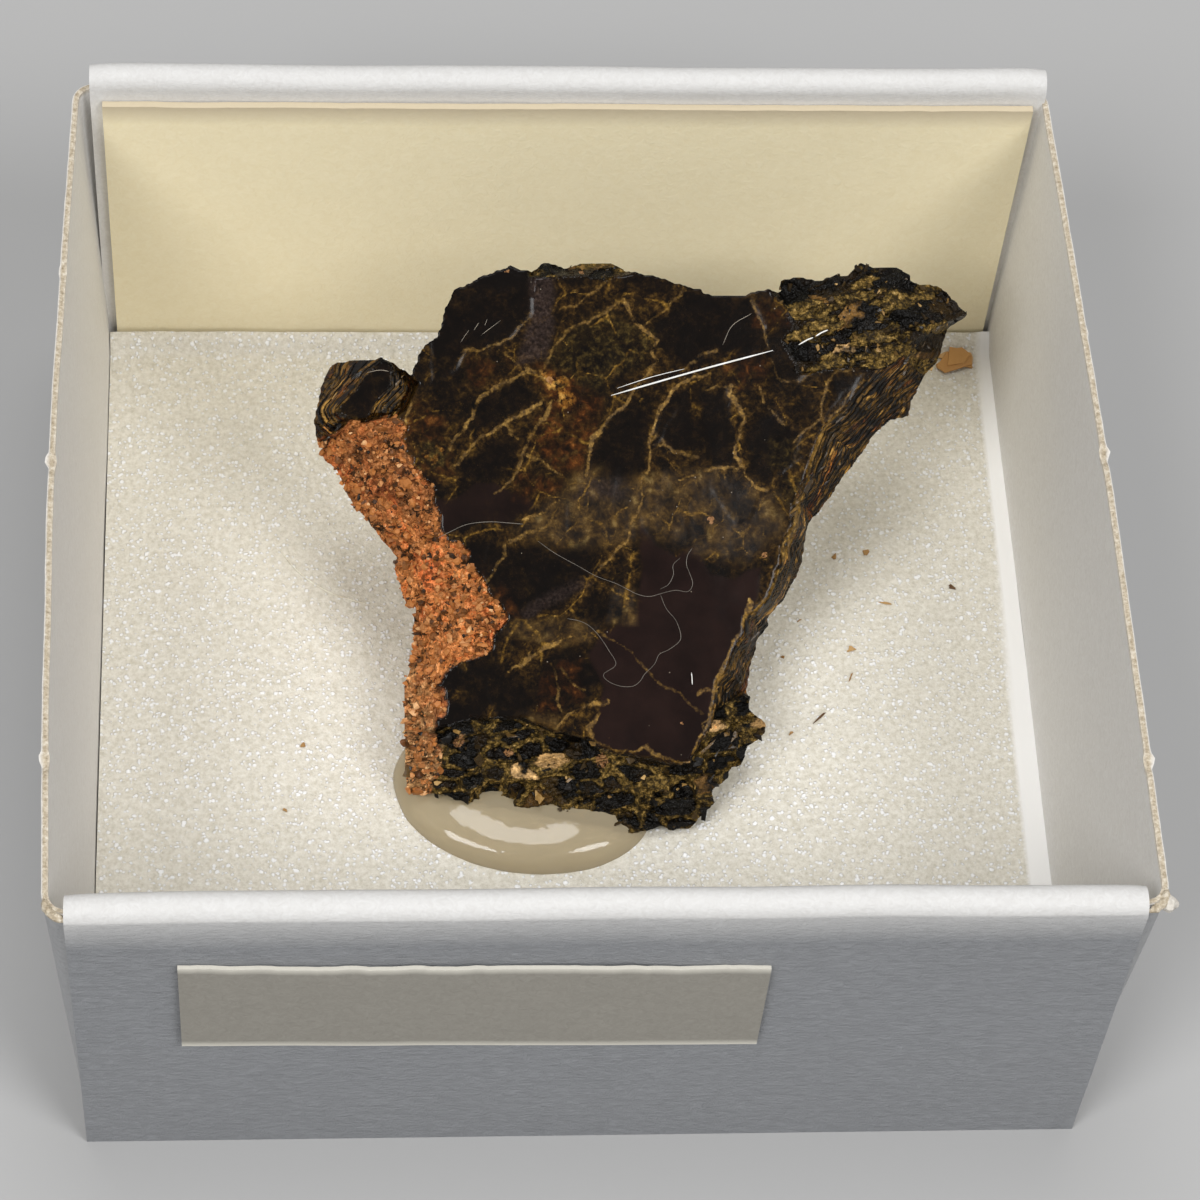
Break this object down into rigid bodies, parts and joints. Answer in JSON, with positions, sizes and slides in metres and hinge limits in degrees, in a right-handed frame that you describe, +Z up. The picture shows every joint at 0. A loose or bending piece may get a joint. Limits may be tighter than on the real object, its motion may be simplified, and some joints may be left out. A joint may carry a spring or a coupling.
{
  "type": "mica specimen in a card tray",
  "caption": "Dark mica book leaning back on a glued foot, on a glittery foam pad in a folded open card tray with a blank name card and a blank label.",
  "frame": {"origin": "centre of the tray's underside, on the surface it stands on", "axes": "+Z up, +X to the right seen from the labelled front wall, +Y towards the back wall with the name card"},
  "size_m": [0.0421, 0.0402, 0.0196],
  "materials": {
    "tray_card": "matte",
    "glitter_foam": "satin",
    "cream_card": "matte",
    "label_paper": "matte",
    "mica": "gloss",
    "clear_glue": "gloss",
    "tan_flake": "satin"
  },
  "bodies": {
    "root": {"card_tray": "tray_card", "foam_pad": "glitter_foam", "name_card": "cream_card", "number_label": "label_paper", "mica_crystal": "mica", "glue_foot": "clear_glue", "loose_flake": "tan_flake"}
  },
  "joints": []
}
